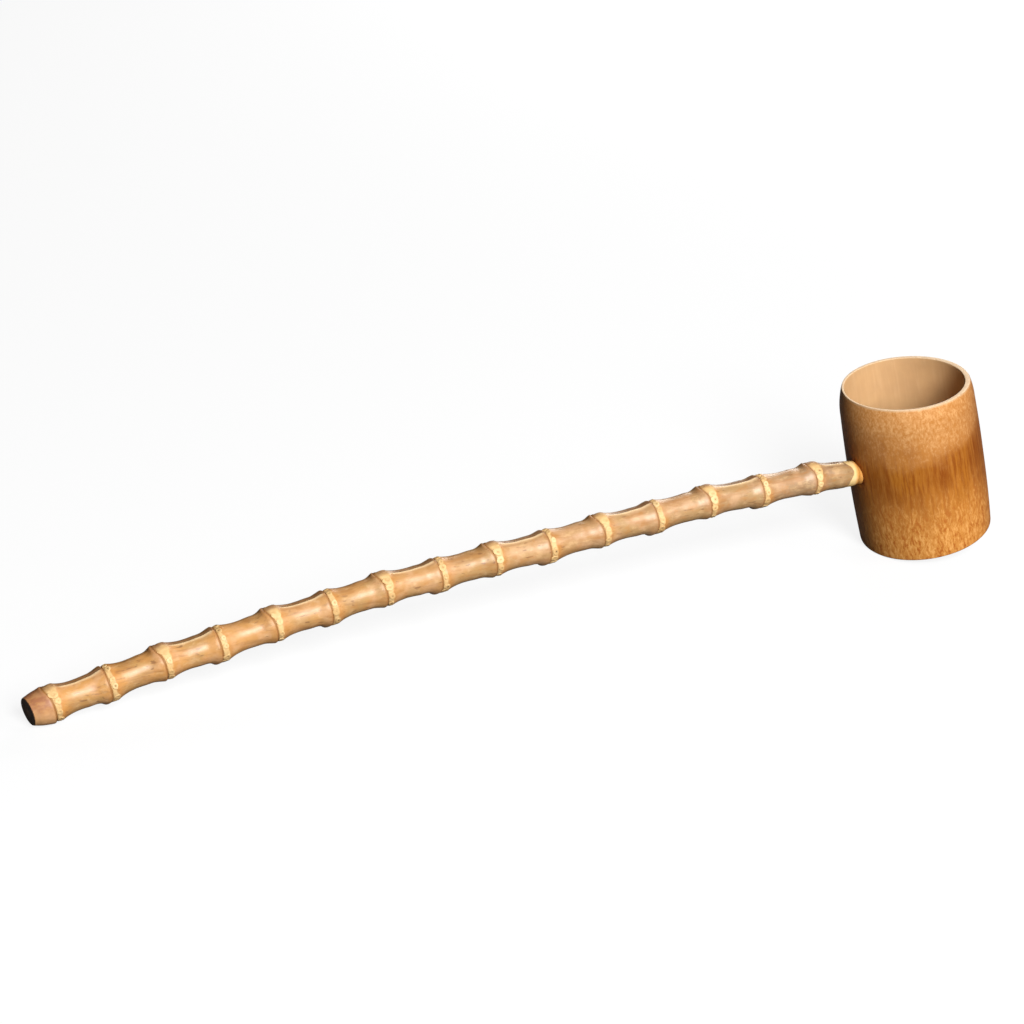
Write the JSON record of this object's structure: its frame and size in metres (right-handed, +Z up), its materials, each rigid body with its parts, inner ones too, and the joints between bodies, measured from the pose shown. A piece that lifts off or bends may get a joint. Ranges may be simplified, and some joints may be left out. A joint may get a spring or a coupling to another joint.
{
  "type": "bamboo water dipper",
  "caption": "Dipper for ladling water: a bamboo cup with a slanted, thinned rim on a long, gently arched handle of jointed root cane.",
  "frame": {"origin": "bottom centre of the bounding box of the dipper as it rests on a table, on the far edge of its foot and the end of its handle", "axes": "+X from the handle's free end towards the cup, +Z up from the table, +Y across the handle"},
  "size_m": [0.4256, 0.0572, 0.0773],
  "materials": {
    "cup_bamboo": "scraped bamboo with a thin clear satin finish",
    "handle_cane": "root cane with its own hard, semi-gloss skin",
    "peg_bamboo": "split bamboo, whittled and bare"
  },
  "bodies": {
    "root": {"cup": "cup_bamboo", "handle": "handle_cane", "peg": "peg_bamboo"}
  },
  "joints": []
}
